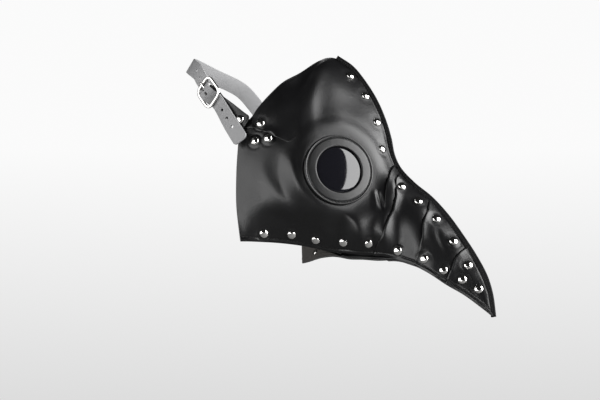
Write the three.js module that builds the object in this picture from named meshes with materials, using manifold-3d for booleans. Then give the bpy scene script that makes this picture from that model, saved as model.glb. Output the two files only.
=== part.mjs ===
// A plague doctor mask: two leather side panels sewn along a centre ridge, a gusset under the beak,
// stitched eye rings that clamp tinted lenses, dome rivets, and a head strap with a buckle.
// Millimetres. +Z is up, the beak points along -Y and the wearer's left is +X. The origin is the middle
// of the opening that the face goes into. Everything on the left is made first, then mirrored.
import * as THREE from 'three';
import { mergeVertices } from 'three/addons/utils/BufferGeometryUtils.js';
import Module from 'manifold-3d';

// ---- Driving dimensions ----
const GAP = 0.35;              // clear space between pieces that touch
const LEATHER = 2.0;           // side panel thickness
const SEAM_HEIGHT = 3.5;       // seam allowance that stands out along the ridge
const SEAM_LAYER = 1.3;        // thickness of each layer in the ridge seam
const SEAM_GAP = 0.15;         // half of the gap between the two layers at the middle plane
const PANEL_COLUMNS = 26;
const PANEL_ROWS = 11;

const GUSSET_THICKNESS = 1.5;
const GUSSET_FLANGE = 3.6;     // how far the gusset's sewn edges run up beside the panels
const GUSSET_ARCH = 5;         // rise of the gusset's middle above its edges, near the chin
const GUSSET_START = 0.34;     // where the gusset starts and ends along the bottom edge, 0 to 1
const GUSSET_END = 0.955;
const GUSSET_COLUMNS = 14;

const EYE = { centre: [48, -96.5, -28], facing: [0.742, -0.668, 0.05], flat: 36, blend: 56 };
const RING = { outer: 34.7, inner: 22.8, height: 4.0, seat: 26.6, seatDepth: 2.1, segments: 28 };
const LENS = { flange: 26.2, flangeThickness: 1.4, dome: 22.2, rise: 1.6 };
const EYE_HOLE = 24.4;         // radius of the opening cut in the panel behind the lens

const RIVET = { post: 1.5, cap: 4.3, capHeight: 2.4, back: 3.3, backHeight: 0.9, segments: 8 };
const TAB_THICKNESS = 1.8;

const STRAP_WIDTH = 16;
const STRAP_THICKNESS = 1.8;
const STRAP_HOLE = 1.8;        // radius
const PRONG_SLOT = { middle: 5.2, length: 7.4, width: 3.4 };
const STRAP_HOLES = [32, 21, -2];       // distances up the strap from the buckle's centre bar
const TAIL_HOLES = [0.17, 0.4, 0.63];   // shares of the tail's length
const PIVOT = [80, -7, 24];    // middle of each strap end, on the line that the head strap turns about
const PIVOT_OVERHANG = [0, -6.5, -4.6];  // from that line to the strap's very end
const HEAD_CENTRE = [0, -5, 45];         // the back strap lies flat on a head about this point
// The left half of the grey strap's way around the back of the head.
const BACK_ROUTE = [[82, 12, 39], [79, 27, 51], [72, 42, 65], [56, 59, 89], [26, 75.5, 99], [0, 82, 103]];
const BUCKLE_BAR = [-79, 28.6, 55.2];      // middle of the buckle's centre bar
const UPPER_BAR_WAY = [0.117, 0.6, 0.79];  // from the centre bar towards the frame's upper end
const BUCKLE_FACING = [-0.924, 0.357, -0.134];
// The grey strap's way under the frame's upper end, over the centre bar and under the lower end:
// distance up from the centre bar, height out from the frame's middle plane.
const BUCKLE_ROUTE = [
  [28, -4.4], [20, -3.1], [14, -3], [10.4, -2.6], [6.6, 1.2], [3.2, 3.9], [0, 4.4], [-3.2, 3.9], [-6.6, 1.2],
  [-10.4, -2.6], [-13, -3], [-14.6, -3.1],
];
const FRAME = { length: 27, width: 26.5, bar: 2.8, thickness: 2.2, corner: 8, centreBar: 1.1 };
const LOOP_RADIUS = 2.2;       // middle of the buckle strap where it wraps the centre bar
const LOOP_THICKNESS = 1.4;
const LOOP_END = [[-3.2, 0.1], [-4.8, -1.2]];  // the fold's end, as distance and height like the route
const PRONG = { ring: 1.45, ringOuter: 2.55, width: 2 };
const TAIL_START = [-16.6, -3.15];
const TAIL_END = [-86, -11, 1.3];

// ---- Materials ----
const material = (color, roughness, metalness) =>
  new THREE.MeshStandardMaterial({ color, roughness, metalness });
const LEATHER_BLACK = material(0x101010, 0.45, 0);
const STRAP_GREY = material(0x9a9a9a, 0.6, 0);
const NICKEL = material(0xd8d8d4, 0.15, 1);
const LENS_TINT = material(0x0a0a0c, 0.05, 0);

const wasm = await Module();
wasm.setup();

const mask = new THREE.Group();
const vector = (p) => new THREE.Vector3(...p);

function place(name, geometry, look) {
  const mesh = new THREE.Mesh(geometry, look);
  mesh.name = name;
  mask.add(mesh);
}

// ---- Solids ----
function bare(geometry) {
  const copy = geometry.clone();
  copy.deleteAttribute('normal');
  copy.deleteAttribute('uv');
  return mergeVertices(copy, 1e-4);
}

function solid(geometry) {
  const g = bare(geometry);
  return new wasm.Manifold(new wasm.Mesh({
    numProp: 3,
    vertProperties: new Float32Array(g.attributes.position.array),
    triVerts: new Uint32Array(g.index.array),
  }));
}

function geometryOf(manifold) {
  const mesh = manifold.getMesh();
  const g = new THREE.BufferGeometry();
  g.setAttribute('position', new THREE.Float32BufferAttribute(mesh.vertProperties, 3));
  g.setIndex(Array.from(mesh.triVerts));
  return g;
}

function mirrored(geometry) {
  const g = bare(geometry);
  g.scale(-1, 1, 1);
  const index = g.index.array;
  for (let i = 0; i < index.length; i += 3) {
    [index[i], index[i + 1]] = [index[i + 1], index[i]];
  }
  return g;
}

// A closed sheet between two grids of points; front[i][j] faces out where i x j points out.
function slab(front, rear) {
  const columns = front.length;
  const rows = front[0].length;
  const points = [...front.flat(), ...rear.flat()];
  const a = (i, j) => i * rows + j;
  const b = (i, j) => columns * rows + i * rows + j;
  const index = [];
  const quad = (p, q, r, s) => index.push(p, q, r, p, r, s);
  for (let i = 0; i < columns - 1; i += 1) {
    for (let j = 0; j < rows - 1; j += 1) {
      quad(a(i, j), a(i + 1, j), a(i + 1, j + 1), a(i, j + 1));
      quad(b(i, j), b(i, j + 1), b(i + 1, j + 1), b(i + 1, j));
    }
    quad(a(i, 0), b(i, 0), b(i + 1, 0), a(i + 1, 0));
    quad(a(i + 1, rows - 1), b(i + 1, rows - 1), b(i, rows - 1), a(i, rows - 1));
  }
  for (let j = 0; j < rows - 1; j += 1) {
    quad(a(0, j), a(0, j + 1), b(0, j + 1), b(0, j));
    quad(a(columns - 1, j + 1), a(columns - 1, j), b(columns - 1, j), b(columns - 1, j + 1));
  }
  const g = new THREE.BufferGeometry();
  g.setAttribute('position', new THREE.Float32BufferAttribute(points.flatMap((p) => p.toArray()), 3));
  g.setIndex(index);
  return g;
}

// Moves a geometry made about +Z to a point, with +Z turned to a direction.
function stood(geometry, at, facing) {
  const turn = new THREE.Quaternion().setFromUnitVectors(new THREE.Vector3(0, 0, 1), facing);
  return bare(geometry).applyQuaternion(turn).translate(at.x, at.y, at.z);
}

const lathe = (profile, segments) =>
  new THREE.LatheGeometry(profile.map(([r, z]) => new THREE.Vector2(r, z)), segments).rotateX(Math.PI / 2);

// ---- The side panel's surface ----
// The outer edge of the ridge seam, from the forehead to the tip of the beak: y, z.
const RIDGE = [
  [-75, 99.5], [-91.5, 87], [-106, 68.5], [-118, 48.5], [-127, 27], [-132, 10], [-135.5, -7],
  [-142, -20.5], [-156, -36], [-174, -51.5], [-190.5, -70], [-205.5, -91], [-219, -112],
  [-229.5, -132], [-235, -150], [-238, -173.5],
];
const ridge = new THREE.CatmullRomCurve3(RIDGE.map(([y, z]) => new THREE.Vector3(0, y, z)));

// A point inward from the ridge's edge by the seam's height, in the middle of this side's layer.
function seamFoot(t, depth = SEAM_HEIGHT) {
  const at = ridge.getPoint(t);
  const way = ridge.getTangent(t);
  return new THREE.Vector3(SEAM_GAP + SEAM_LAYER / 2, at.y - way.z * depth, at.z + way.y * depth);
}
const foot = (station) => seamFoot(station / (RIDGE.length - 1)).toArray();

// Ribs across the panel from its top edge to its bottom edge: the free rear edge first, the tip last.
const RIBS = [
  [[77.5, -4, 22], [78, -4, 12], [78, -3.5, 0], [78, -2, -25], [76, -1, -60], [72, -4, -94]],
  [[75.5, -14, 24.5], [77, -14, 12], [77.8, -12, 0], [77.8, -11, -22], [75.6, -9.9, -59.9], [68, -10.9, -94]],
  [[72, -23, 37.5], [75.5, -22, 15], [77.5, -20, -20], [74.3, -18.7, -59.8], [61.5, -19.2, -94.1]],
  [[66, -33, 51], [74.5, -32, 18], [76.5, -31, -20], [71.9, -30.4, -59.7], [53, -29.3, -94.4]],
  [[58, -42.5, 63], [71.5, -43, 26], [74.5, -43, -20], [68.6, -44, -63.5], [43.5, -41.1, -95.4]],
  [[45, -54, 73.5], [63, -55, 40], [71, -56, 5], [71.5, -57, -31], [63.4, -57.7, -68.4], [34.5, -53.1, -96.9]],
  [[24, -67, 90], [46.5, -64, 66], [64.5, -65, 25], [68.5, -67, -18], [58.5, -67, -70], [29, -62.5, -99]],
  [foot(0), [30, -71.5, 80], [53.5, -71.5, 45], [65.5, -73, 0], [62.5, -74.6, -44.8], [53, -74.6, -75],
    [26.5, -68.9, -100.8]],
  [foot(1), [30, -84, 65.5], [51, -79.5, 33], [61, -81.5, -2], [59, -82, -40], [48.1, -80.6, -78.3],
    [24, -76.7, -102.8]],
  [foot(2.3), [34, -98.5, 33], [50, -95.5, -2], [52, -95, -31], [45.4, -95.8, -68.4], [21, -92.5, -104.6]],
  [foot(4), [25, -115, 8], [38, -110.5, -21], [42.5, -111, -55], [37.8, -113, -89.5], [19, -108.7, -107.1]],
  [foot(6), [16, -130, -23], [26.5, -127, -50], [30, -125.6, -83.5], [17.5, -121, -108.4]],
  [foot(7.2), [14, -142, -36], [25, -138, -66], [27.8, -136.2, -94.6], [16.5, -131.9, -110.1]],
  [foot(8), [14, -151, -50], [22.3, -147.4, -79.7], [16, -143.6, -113.5]],
  [foot(9), [13, -169, -67], [19.5, -166.2, -93.8], [16, -162.7, -121.3]],
  [foot(10), [11, -185.5, -86], [16.5, -182, -108], [17.3, -180, -131]],
  [foot(11.3), [8.5, -203, -110], [12.4, -197, -127], [13, -193.9, -141.1]],
  [foot(12.5), [6, -217, -134], [8.4, -211, -144], [8.6, -209.5, -151]],
  [foot(13.8), [3.6, -229, -156], [4.6, -226.8, -161.5], [4.4, -225.6, -164.2]],
  [foot(14.7), [1.6, -235.4, -171.3], [1.5, -235.3, -172.6]],
];
const ribs = RIBS.map((points) => new THREE.CatmullRomCurve3(points.map(vector)));

const eyeCentre = vector(EYE.centre);
const eyeFacing = vector(EYE.facing).normalize();

// The panel lies flat under the eye ring and eases back to its own curve around it.
function flattened(point) {
  const away = point.clone().sub(eyeCentre);
  const height = away.dot(eyeFacing);
  const reach = Math.sqrt(Math.max(away.lengthSq() - height * height, 0));
  const weight = 1 - THREE.MathUtils.smoothstep(reach, EYE.flat, EYE.blend);
  return point.addScaledVector(eyeFacing, -height * weight);
}

function surface(u, v) {
  const row = new THREE.CatmullRomCurve3(ribs.map((rib) => rib.getPointAt(v)));
  return flattened(row.getPoint(u));
}

function outward(u, v) {
  const step = 0.004;
  const [u0, u1] = [Math.max(u - step, 0), Math.min(u + step, 1)];
  const [v0, v1] = [Math.max(v - step, 0), Math.min(v + step, 1)];
  const along = surface(u1, v).sub(surface(u0, v));
  const down = surface(u, v1).sub(surface(u, v0));
  return along.cross(down).normalize();
}

const inset = (u, v, depth) => surface(u, v).addScaledVector(outward(u, v), -depth);

function grid(columns, rows, point) {
  return Array.from({ length: columns + 1 }, (_, i) =>
    Array.from({ length: rows + 1 }, (__, j) => point(i / columns, j / rows)));
}

// ---- Rivets ----
// Post through the leather, a dome cap outside and a flat cap inside. z = 0 is the outer face.
function rivetProfile(grip, clearance) {
  const { post, cap, capHeight, back, backHeight } = RIVET;
  const c = clearance;
  return [
    [0, -grip - GAP - backHeight - c], [back + c, -grip - GAP - backHeight - c], [back + c, -grip - GAP + c],
    [post + c, -grip - GAP + c], [post + c, GAP - c], [cap + c, GAP - c],
    [cap * 0.88 + c, GAP + capHeight * 0.5], [cap * 0.52 + c, GAP + capHeight * 0.9],
    [0, GAP + capHeight + c],
  ];
}

const rivetAt = (at, facing, grip, clearance = 0) =>
  stood(lathe(rivetProfile(grip, clearance), RIVET.segments), at, facing);

// The panel point nearest to where a rivet is wanted, found by walking down the distance.
function nearest(target) {
  let best = { u: 0.5, v: 0.5, away: Infinity };
  let [reachU, reachV] = [0.5, 0.5];
  for (let round = 0; round < 9; round += 1) {
    const centre = { ...best };
    for (let i = -4; i <= 4; i += 1) {
      for (let j = -4; j <= 4; j += 1) {
        const u = THREE.MathUtils.clamp(centre.u + (i / 4) * reachU, 0, 1);
        const v = THREE.MathUtils.clamp(centre.v + (j / 4) * reachV, 0, 1);
        const away = surface(u, v).distanceTo(target);
        if (away < best.away) best = { u, v, away };
      }
    }
    reachU *= 0.45;
    reachV *= 0.45;
  }
  return best;
}

// Where the rivets go, by row. Each row runs from the back to the tip.
const RIVET_ROWS = {
  forehead: [[8, -92, 75], [6, -107.5, 53.5], [7, -120, 25.5], [10, -126.5, -2.5]],
  beak: [
    [11.5, -147.5, -41.5], [10, -164, -57], [8.5, -182, -75.5], [7, -198.5, -98.5], [6, -213, -122.5],
    [5, -223, -146],
  ],
  edge: [
    [61.3, -23.7, -86.7], [48.1, -47, -87.6], [35.4, -67, -91.6], [27.9, -92.6, -95.3],
    [25.9, -119, -98], [17.6, -145.5, -105.7], [17.7, -172.5, -115.6], [14.2, -191.1, -127.1],
    [9, -208, -136.5],
  ],
  temple: [[74.5, -26, 19.5], [76.5, -21, 2], [75.5, -35, 3.5]],
};

function rivetSeats() {
  const seats = [];
  for (const [row, points] of Object.entries(RIVET_ROWS)) {
    const grip = row === 'temple' ? LEATHER + GAP + TAB_THICKNESS : LEATHER;
    points.forEach((point, k) => {
      const { u, v } = nearest(vector(point));
      seats.push({ name: `${row}_rivet_${k + 1}`, at: surface(u, v), facing: outward(u, v), grip });
    });
  }
  return seats;
}

// ---- Panels and gusset ----
function seamFin() {
  const columns = 24;
  const side = (x, depth) => Array.from({ length: columns + 1 }, (_, i) => {
    const p = seamFoot(0.003 + 0.994 * (i / columns), depth);
    return p.setX(x);
  });
  const front = [side(SEAM_GAP, 0), side(SEAM_GAP, SEAM_HEIGHT + 1)];
  const rear = [side(SEAM_GAP + SEAM_LAYER, 0), side(SEAM_GAP + SEAM_LAYER, SEAM_HEIGHT + 1)];
  return slab(front, rear);
}

function sidePanel(seats) {
  const columns = PANEL_COLUMNS;
  const rows = PANEL_ROWS;
  const sheet = slab(grid(columns, rows, surface), grid(columns, rows, (u, v) => inset(u, v, LEATHER)));
  const farSide = new THREE.BoxGeometry(200, 600, 600).translate(-100 + SEAM_GAP, 0, 0);
  const ringRoom = RING.outer + GAP;
  const eyeCut = [[0, -20], [EYE_HOLE, -20], [EYE_HOLE, 0], [ringRoom, 0], [ringRoom, 20], [0, 20]];
  const eyeHole = stood(lathe(eyeCut, RING.segments), eyeCentre, eyeFacing);
  let panel = solid(sheet).add(solid(seamFin())).subtract(solid(farSide)).subtract(solid(eyeHole));
  for (const seat of seats) {
    panel = panel.subtract(solid(rivetAt(seat.at, seat.facing, seat.grip, GAP)));
  }
  return geometryOf(panel);
}

// A strip that arches between the two bottom edges, with its own edges turned down beside them.
function underGusset() {
  const sections = Array.from({ length: GUSSET_COLUMNS + 1 }, (_, i) => {
    const u = GUSSET_START + (GUSSET_END - GUSSET_START) * (i / GUSSET_COLUMNS);
    const edge = inset(u, 1, LEATHER + 2 * GAP);
    const inward = outward(u, 1).negate();
    const up = surface(u, 0.97).sub(surface(u, 1)).normalize();
    const bend = edge.clone().addScaledVector(up, GUSSET_FLANGE);
    const rise = GUSSET_ARCH * (edge.x / inset(GUSSET_START, 1, LEATHER).x);
    const crown = new THREE.Vector3(0, bend.y, bend.z + rise);
    const shoulder = new THREE.Vector3(bend.x * 0.55, bend.y, bend.z + rise * 0.7);
    const inner = [
      edge.clone().addScaledVector(inward, GUSSET_THICKNESS),
      bend.clone().addScaledVector(inward, GUSSET_THICKNESS).addScaledVector(up, -GUSSET_THICKNESS),
      shoulder.clone().add(new THREE.Vector3(0, 0, -GUSSET_THICKNESS)),
      crown.clone().add(new THREE.Vector3(0, 0, -GUSSET_THICKNESS)),
    ];
    return { upper: [edge, bend, shoulder, crown], lower: inner };
  });
  const acrossBoth = (half) => [
    ...half,
    ...half.slice(0, -1).reverse().map((p) => new THREE.Vector3(-p.x, p.y, p.z)),
  ];
  return slab(sections.map((s) => acrossBoth(s.lower)), sections.map((s) => acrossBoth(s.upper)));
}

// ---- Eyes ----
function eyeRing() {
  const { outer, inner, height, seat, seatDepth, segments } = RING;
  const chamfer = 0.8;
  const profile = [
    [seat, GAP], [outer, GAP], [outer, height - chamfer], [outer - chamfer, height],
    [inner + chamfer, height], [inner, height - chamfer], [inner, seatDepth], [seat, seatDepth], [seat, GAP],
  ];
  return stood(lathe(profile, segments), eyeCentre, eyeFacing);
}

function lens() {
  const { flange, flangeThickness, dome, rise } = LENS;
  const top = GAP + flangeThickness;
  const steps = 4;
  const bulge = Array.from({ length: steps }, (_, k) => {
    const angle = ((k + 1) / steps) * (Math.PI / 2);
    return [dome * Math.cos(angle), top + rise * Math.sin(angle)];
  });
  bulge[steps - 1][0] = 0;
  const profile = [[0, GAP], [flange, GAP], [flange, top], [dome, top], ...bulge];
  return stood(lathe(profile, RING.segments), eyeCentre, eyeFacing);
}

// ---- Temple tabs ----
// Follows the inside of the panel and runs out behind its rear edge to take the strap's rivet.
function templeTab(seats) {
  const depth = LEATHER + GAP;
  const face = (extra) => grid(5, 4, (a, b) => {
    const u = 0.125 * (1 - a);
    const v = 0.03 + 0.27 * b;
    return inset(u, v, depth + extra);
  }).reverse();
  let tab = solid(slab(face(0), face(TAB_THICKNESS)));
  for (const seat of seats) {
    tab = tab.subtract(solid(rivetAt(seat.at, seat.facing, seat.grip, GAP)));
  }
  return tab;
}

// ---- Straps ----
// A flat strap through stations, each a middle point and the direction that the strap's face looks.
function ribbon(stations, width, thickness) {
  const last = stations.length - 1;
  const corner = (k, side, face) => {
    const { at, facing } = stations[k];
    const ahead = stations[Math.min(k + 1, last)].at.clone().sub(stations[Math.max(k - 1, 0)].at).normalize();
    const across = ahead.clone().cross(facing).normalize();
    const out = across.clone().cross(ahead).normalize();
    return at.clone().addScaledVector(across, (side * width) / 2).addScaledVector(out, (face * thickness) / 2);
  };
  const faceGrid = (face) => stations.map((_, k) => [corner(k, -1, face), corner(k, 1, face)]);
  return slab(faceGrid(-1), faceGrid(1));
}

// The buckle's own directions: along the strap to the back, out from the head, and across.
const along = vector(UPPER_BAR_WAY).normalize();
const facingOut = vector(BUCKLE_FACING);
const out = facingOut.addScaledVector(along, -facingOut.dot(along)).normalize();
const across = along.clone().cross(out);
const buckleBar = vector(BUCKLE_BAR);
const atBuckle = (t, n, w = 0) =>
  buckleBar.clone().addScaledVector(along, t).addScaledVector(out, n).addScaledVector(across, w);

const pivotLeft = vector(PIVOT);
const pivotRight = pivotLeft.clone().setX(-PIVOT[0]);
const outerX = new THREE.Vector3(1, 0, 0);

function buckleStrapStations() {
  const outX = outerX.clone().negate();
  const stations = [];
  const start = pivotRight.clone().add(vector(PIVOT_OVERHANG));
  stations.push({ at: start, facing: outX }, { at: pivotRight.clone(), facing: outX });
  const under = atBuckle(-15, -5.4);
  const halfTurned = outX.clone().add(out).normalize();
  stations.push({ at: pivotRight.clone().lerp(under, 0.55), facing: halfTurned }, { at: under, facing: out });
  stations.push({ at: atBuckle(-9, -4.9), facing: out });
  const turns = 6;
  for (let k = 0; k <= turns; k += 1) {
    const angle = -Math.PI / 2 + (k / turns) * Math.PI * 1.25;
    const radial = along.clone().multiplyScalar(Math.cos(angle)).addScaledVector(out, Math.sin(angle));
    stations.push({
      at: atBuckle(Math.cos(angle) * LOOP_RADIUS, Math.sin(angle) * LOOP_RADIUS),
      facing: radial.negate(),
    });
  }
  for (const [t, n] of LOOP_END) {
    stations.push({ at: atBuckle(t, n), facing: out.clone().negate() });
  }
  return stations;
}

const POST_HOLE = RIVET.post + GAP;
const drill = (at, facing, radius, reach = 6) =>
  solid(stood(lathe([[0, -reach], [radius, -reach], [radius, reach], [0, reach]], 8), at, facing));

function buckleBox(t, n, w, size) {
  const box = new THREE.BoxGeometry(...size);
  const turn = new THREE.Matrix4().makeBasis(along, out, across);
  return bare(box).applyMatrix4(turn).translate(...atBuckle(t, n, w).toArray());
}

function buckleStrap() {
  const strap = solid(ribbon(buckleStrapStations(), STRAP_WIDTH, LOOP_THICKNESS));
  const slot = solid(buckleBox(0.6, 0.3, 0, [7, 8.4, PRONG_SLOT.width]));
  return geometryOf(strap.subtract(slot).subtract(drill(pivotRight, outerX, POST_HOLE)));
}

// The grey strap's stations around the back of the head, from the left temple to the buckle.
function longStrapStations() {
  const half = BACK_ROUTE.map(vector);
  const otherHalf = BACK_ROUTE.slice(3, -1).reverse().map(([x, y, z]) => new THREE.Vector3(-x, y, z));
  const start = pivotLeft.clone().add(vector(PIVOT_OVERHANG));
  const throughBuckle = BUCKLE_ROUTE.map(([t, n]) => atBuckle(t, n));
  const points = [start, pivotLeft.clone(), ...half, ...otherHalf, ...throughBuckle];
  const route = new THREE.CatmullRomCurve3(points);
  const count = 3 * (points.length - 1);
  return Array.from({ length: count + 1 }, (_, k) => {
    const at = route.getPoint(k / count);
    const facing = at.clone().sub(vector(HEAD_CENTRE)).normalize();
    const nearPivot = THREE.MathUtils.smoothstep(at.y, 0, 40);
    const nearBuckle = at.x < 0 ? THREE.MathUtils.smoothstep(at.x, -78, -62) : 1;
    const level = at.x < 0 ? out : outerX;
    facing.lerp(level, 1 - Math.min(nearPivot, nearBuckle)).normalize();
    return { at, facing };
  });
}

function longStrap() {
  const { middle, length, width } = PRONG_SLOT;
  let strap = solid(ribbon(longStrapStations(), STRAP_WIDTH, STRAP_THICKNESS));
  strap = strap.subtract(drill(pivotLeft, outerX, POST_HOLE));
  strap = strap.subtract(solid(buckleBox(middle, 1, 0, [length, 12, width])));
  for (const distance of STRAP_HOLES) {
    strap = strap.subtract(drill(atBuckle(distance, distance > 0 ? -3 : 4.2), out, STRAP_HOLE, 5));
  }
  return geometryOf(strap);
}

function strapTail() {
  const start = atBuckle(...TAIL_START);
  const end = vector(TAIL_END);
  const facing = outerX.clone().negate();
  const middle = start.clone().lerp(end, 0.5).add(new THREE.Vector3(-1.2, 0, 0));
  const route = new THREE.CatmullRomCurve3([start, middle, end]);
  const count = 6;
  const stations = Array.from({ length: count + 1 }, (_, k) => {
    const at = route.getPointAt(k / count);
    return { at, facing: out.clone().lerp(facing, k / count).normalize() };
  });
  let tail = solid(ribbon(stations, STRAP_WIDTH, STRAP_THICKNESS));
  for (const share of TAIL_HOLES) {
    tail = tail.subtract(drill(route.getPointAt(share), facing, STRAP_HOLE));
  }
  return geometryOf(tail);
}

// ---- Buckle ----
function roundedRectangle(target, x0, x1, y0, y1, radius) {
  target.moveTo(x0 + radius, y0);
  target.lineTo(x1 - radius, y0);
  target.absarc(x1 - radius, y0 + radius, radius, -Math.PI / 2, 0);
  target.lineTo(x1, y1 - radius);
  target.absarc(x1 - radius, y1 - radius, radius, 0, Math.PI / 2);
  target.lineTo(x0 + radius, y1);
  target.absarc(x0 + radius, y1 - radius, radius, Math.PI / 2, Math.PI);
  target.lineTo(x0, y0 + radius);
  target.absarc(x0 + radius, y0 + radius, radius, Math.PI, Math.PI * 1.5);
  return target;
}

function inBuckle(geometry) {
  const turn = new THREE.Matrix4().makeBasis(along, across.clone().negate(), out);
  return bare(geometry).applyMatrix4(turn).translate(...BUCKLE_BAR);
}

// A rounded frame with a bar across its middle.
function buckleFrame() {
  const { length, width, bar, thickness, corner, centreBar } = FRAME;
  const bevel = 0.5;
  const shape = roundedRectangle(new THREE.Shape(), -length / 2, length / 2, -width / 2, width / 2, corner);
  const opening = roundedRectangle(
    new THREE.Path(), bar - length / 2, length / 2 - bar, bar - width / 2, width / 2 - bar, corner - bar);
  shape.holes.push(opening);
  const body = new THREE.ExtrudeGeometry(shape, {
    depth: thickness - bevel * 2, curveSegments: 3, bevelThickness: bevel, bevelSize: bevel,
    bevelOffset: -bevel, bevelSegments: 1,
  }).translate(0, 0, bevel - thickness / 2);
  return geometryOf(solid(inBuckle(body)).add(drill(buckleBar, across, centreBar, (width - bar) / 2)));
}

// A ring around the centre bar with a tongue that passes up through the strap to the frame's upper end.
function buckleProng() {
  const { ring, ringOuter, width } = PRONG;
  const shape = new THREE.Shape();
  const rest = FRAME.thickness / 2 + GAP;
  const far = FRAME.length / 2 + 0.4;
  const lift = 0.9;
  shape.moveTo(far, rest);
  shape.lineTo(far, rest + 1);
  shape.lineTo(far - 3.5, rest + 1.5);
  shape.lineTo(Math.cos(lift) * ringOuter, Math.sin(lift) * ringOuter + 0.1);
  shape.absarc(0, 0, ringOuter, lift + 0.1, Math.PI * 2 - 0.2);
  shape.lineTo(far / 2, rest - 0.2);
  const hole = new THREE.Path().absarc(0, 0, ring, 0, Math.PI * 2);
  shape.holes.push(hole);
  const tongue = new THREE.ExtrudeGeometry(shape, { depth: width, curveSegments: 6, bevelEnabled: false });
  tongue.translate(0, 0, -width / 2).rotateX(Math.PI / 2);
  return inBuckle(tongue);
}

// ---- Assembly ----
const seats = rivetSeats();
const templeSeats = seats.filter((seat) => seat.name.startsWith('temple'));
const strapFace = pivotLeft.clone().setX(PIVOT[0] + STRAP_THICKNESS / 2 + 0.4);
const pivotReach = STRAP_THICKNESS + 6.2;

function strapRivet(clearance) {
  return rivetAt(strapFace, outerX, pivotReach, clearance);
}

const panelLeft = geometryOf(solid(sidePanel(seats)).subtract(solid(strapRivet(GAP))));
const tabLeft = geometryOf(templeTab(templeSeats).subtract(solid(strapRivet(GAP))));
place('side_panel_left', panelLeft, LEATHER_BLACK);
place('side_panel_right', mirrored(panelLeft), LEATHER_BLACK);
place('under_gusset', underGusset(), LEATHER_BLACK);
place('temple_tab_left', tabLeft, LEATHER_BLACK);
place('temple_tab_right', mirrored(tabLeft), LEATHER_BLACK);
place('eye_ring_left', eyeRing(), LEATHER_BLACK);
place('eye_ring_right', mirrored(eyeRing()), LEATHER_BLACK);
place('lens_left', lens(), LENS_TINT);
place('lens_right', mirrored(lens()), LENS_TINT);
place('strap_rivet_left', strapRivet(0), NICKEL);
place('strap_rivet_right', mirrored(strapRivet(0)), NICKEL);
place('buckle_strap', buckleStrap(), LEATHER_BLACK);
place('long_strap', longStrap(), STRAP_GREY);
place('strap_tail', strapTail(), STRAP_GREY);
place('buckle_frame', buckleFrame(), NICKEL);
place('buckle_prong', buckleProng(), NICKEL);
for (const seat of seats) {
  const rivet = rivetAt(seat.at, seat.facing, seat.grip);
  place(`${seat.name}_left`, rivet, NICKEL);
  place(`${seat.name}_right`, mirrored(rivet), NICKEL);
}

export default mask;
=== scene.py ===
"""The looks of the plague doctor mask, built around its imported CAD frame.

Lengths are in millimetres and are turned to metres when a mesh is made. Those of the materials and
the stage are in metres. The mask looks along -Y, its left side is +X, and pieces for the wearer's
right are mirrored from the left.
"""

import math

import bmesh
import bpy
import numpy as np
from mathutils import Matrix, Vector


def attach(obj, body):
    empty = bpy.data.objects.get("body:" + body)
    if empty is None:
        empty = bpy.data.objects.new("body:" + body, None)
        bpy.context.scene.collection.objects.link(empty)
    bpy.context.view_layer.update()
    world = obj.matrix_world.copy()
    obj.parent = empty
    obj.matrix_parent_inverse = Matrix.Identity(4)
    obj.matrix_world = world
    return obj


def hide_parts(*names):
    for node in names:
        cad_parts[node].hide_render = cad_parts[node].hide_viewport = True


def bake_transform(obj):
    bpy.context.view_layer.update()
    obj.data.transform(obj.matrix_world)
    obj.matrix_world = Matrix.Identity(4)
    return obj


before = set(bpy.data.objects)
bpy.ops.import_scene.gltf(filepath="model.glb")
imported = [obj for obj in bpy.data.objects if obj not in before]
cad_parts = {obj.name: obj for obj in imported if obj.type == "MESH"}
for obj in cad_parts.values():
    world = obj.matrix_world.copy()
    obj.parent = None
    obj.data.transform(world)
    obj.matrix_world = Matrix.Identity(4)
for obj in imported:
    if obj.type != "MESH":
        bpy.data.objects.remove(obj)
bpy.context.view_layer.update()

MM = 0.001

# ---- Sizes of the CAD model ----
LEATHER = 2.0
SEAM_HEIGHT = 3.5
SEAM_LAYER = 1.3
SEAM_GAP = 0.15
GAP = 0.35
EYE_CENTRE = np.array([48, -96.5, -28])
EYE_FLAT = 36
EYE_BLEND = 56
EYE_HOLE = 24.4
RING_OUTER = 34.7
RING_INNER = 22.8
RING_HEIGHT = 4.0
LENS_FLANGE = 26.2
LENS_FLANGE_THICKNESS = 1.4
LENS_DOME = 22.2
LENS_DOME_HEIGHT = 1.6
LENS_SEAT = (26.6, 2.1)  # radius and depth of the ring's seat for the lens
RIVET_CAP = 4.3
RIVET_CAP_TOP = 2.75
RIVET_BACK_CAP = 0.9
GUSSET_START = 0.34
GUSSET_END = 0.955
GUSSET_RISE = 5  # how far its middle rises where it is widest
GUSSET_THICKNESS = 1.5
GUSSET_FLANGE = 3.6
STRAP_WIDTH = 16
STRAP_THICKNESS = 1.8
STRAP_HOLE = 1.6  # 0.2 less than in the CAD model
STRAP_HOLES = ((32, -3), (21, -3), (-2, 4.2))  # distance from the centre bar, and height
SLOT_MIDDLE = 5.2
SLOT_LENGTH = 7.4
SLOT_WIDTH = 3.4
PIVOT = np.array([80, -7, 24])
PIVOT_OVERHANG = np.array([0, -6.5, -4.6])
BUCKLE_BAR = np.array([-79, 28.6, 55.2])
UPPER_BAR_WAY = np.array([0.117, 0.6, 0.79])
BUCKLE_FACING = np.array([-0.924, 0.357, -0.134])
FRAME_LENGTH = 27
FRAME_WIDTH = 26.5
FRAME_BAR = 2.9  # 0.1 more than in the CAD model
FRAME_THICKNESS = 2.2
FRAME_CORNER = 8
CENTRE_BAR = 1.1
LOOP_RADIUS = 2.2
LOOP_THICKNESS = 1.4
TAIL_HOLES = (0.17, 0.4, 0.63)
TAIL_START = (-16.6, -3.15)
TAIL_END = np.array([-86, -11, 1.3])
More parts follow.
